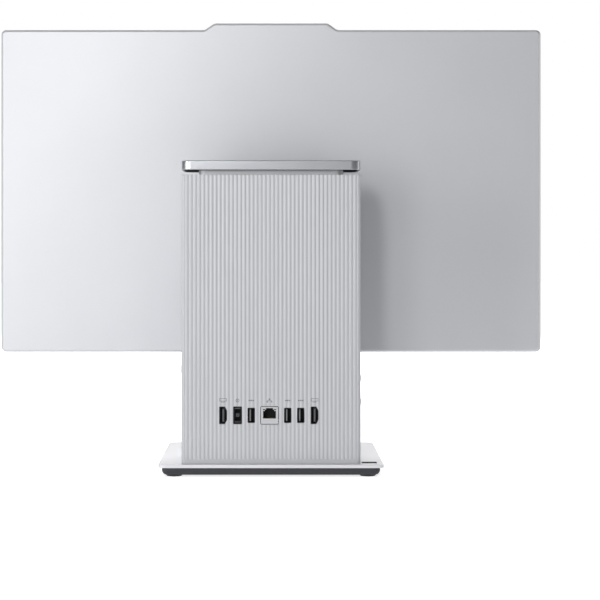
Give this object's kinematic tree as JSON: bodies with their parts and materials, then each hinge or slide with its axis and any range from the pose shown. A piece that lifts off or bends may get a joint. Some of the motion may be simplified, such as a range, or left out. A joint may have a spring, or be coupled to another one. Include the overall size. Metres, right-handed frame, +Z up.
{
  "type": "all-in-one desktop computer",
  "caption": "All-in-one desktop computer: a thin tilting display hung from a ribbed upright tower that holds the computer, on a flat base with rubber feet.",
  "frame": {"origin": "on the desk, under the middle of the base", "axes": "+Z up, +X to the right of a person facing the screen, and the screen faces -Y"},
  "size_m": [0.5428, 0.176, 0.4368],
  "materials": {
    "silver_paint": "satin",
    "silver_plastic": "satin",
    "cap_aluminium": "fine blasted",
    "pearl_paint": "satin",
    "dark_plastic": "matte",
    "black_plastic": "satin",
    "rubber": "matte",
    "steel": "brushed",
    "copper": "plain copper",
    "circuit_board": "solder mask",
    "chip": "matte",
    "screen": "anti-glare",
    "clear_acrylic": "clear"
  },
  "bodies": {
    "stand": {"base_tray": "dark_plastic", "base_weight": "steel", "base_plate": "pearl_paint", "base_badge": "dark_plastic", "foot_front_left": "rubber", "foot_front_right": "rubber", "foot_rear_left": "rubber", "foot_rear_right": "rubber", "screen_in_port": "black_plastic", "dc_jack": "black_plastic", "usb_port_1": "black_plastic", "lan_port": "steel", "usb_port_2": "black_plastic", "usb_port_3": "black_plastic", "screen_out_port": "black_plastic", "audio_jack": "black_plastic", "small_usb_port": "steel", "side_usb_port": "black_plastic", "rear_cover": "silver_plastic", "tower_shell": "silver_paint", "top_grille": "dark_plastic", "chassis_frame": "steel", "mainboard": "circuit_board", "cpu_package": "chip", "heat_spreader": "copper", "memory_module_1": "circuit_board", "memory_module_2": "circuit_board", "ssd_module": "circuit_board", "wireless_card": "circuit_board", "coin_cell": "steel", "fan_housing": "black_plastic", "heatsink_fins": "cap_aluminium", "heat_pipe": "copper", "arm_cap": "cap_aluminium", "cap_underside": "dark_plastic", "neck_cover": "silver_paint", "hinge_arm": "steel", "hinge_pin": "steel", "arm_sleeve": "cap_aluminium"},
    "display": {"display_rear_cover": "silver_plastic", "hinge_trim": "silver_plastic", "hinge_plate": "steel", "backlight_tray": "steel", "light_guide": "clear_acrylic", "lcd_panel": "screen", "front_bezel": "black_plastic", "chin_cover": "silver_plastic", "camera_module": "chip", "display_board": "circuit_board", "speaker_left": "black_plastic", "speaker_right": "black_plastic"},
    "shutter": {"camera_shutter": "black_plastic"},
    "fan": {"fan_rotor": "black_plastic"},
    "power_key": {"power_button": "silver_plastic"},
    "source_key": {"source_button": "silver_plastic"},
    "brightness_key": {"brightness_button": "silver_plastic"}
  },
  "joints": [
    {"name": "display_tilt", "type": "hinge", "parent": "stand", "child": "display", "pos_m": [0, -0.046, 0.2865], "axis": [-1, 0, 0], "range_deg": [-5, 15]},
    {"name": "camera_shutter_slide", "type": "slide", "parent": "display", "child": "shutter", "axis": [-1, 0, 0], "range_m": [0, 0.009]},
    {"name": "fan_spin", "type": "hinge", "parent": "stand", "child": "fan", "pos_m": [0, 0.0475, 0.2084], "axis": [0, 1, 0], "continuous": true},
    {"name": "power_press", "type": "slide", "parent": "stand", "child": "power_key", "axis": [-1, 0, 0], "range_m": [0, 0.0008], "stiffness_N_per_m": 1500},
    {"name": "source_press", "type": "slide", "parent": "stand", "child": "source_key", "axis": [1, 0, 0], "range_m": [0, 0.0008], "stiffness_N_per_m": 1500},
    {"name": "brightness_press", "type": "slide", "parent": "stand", "child": "brightness_key", "axis": [1, 0, 0], "range_m": [0, 0.0008], "stiffness_N_per_m": 1500}
  ]
}
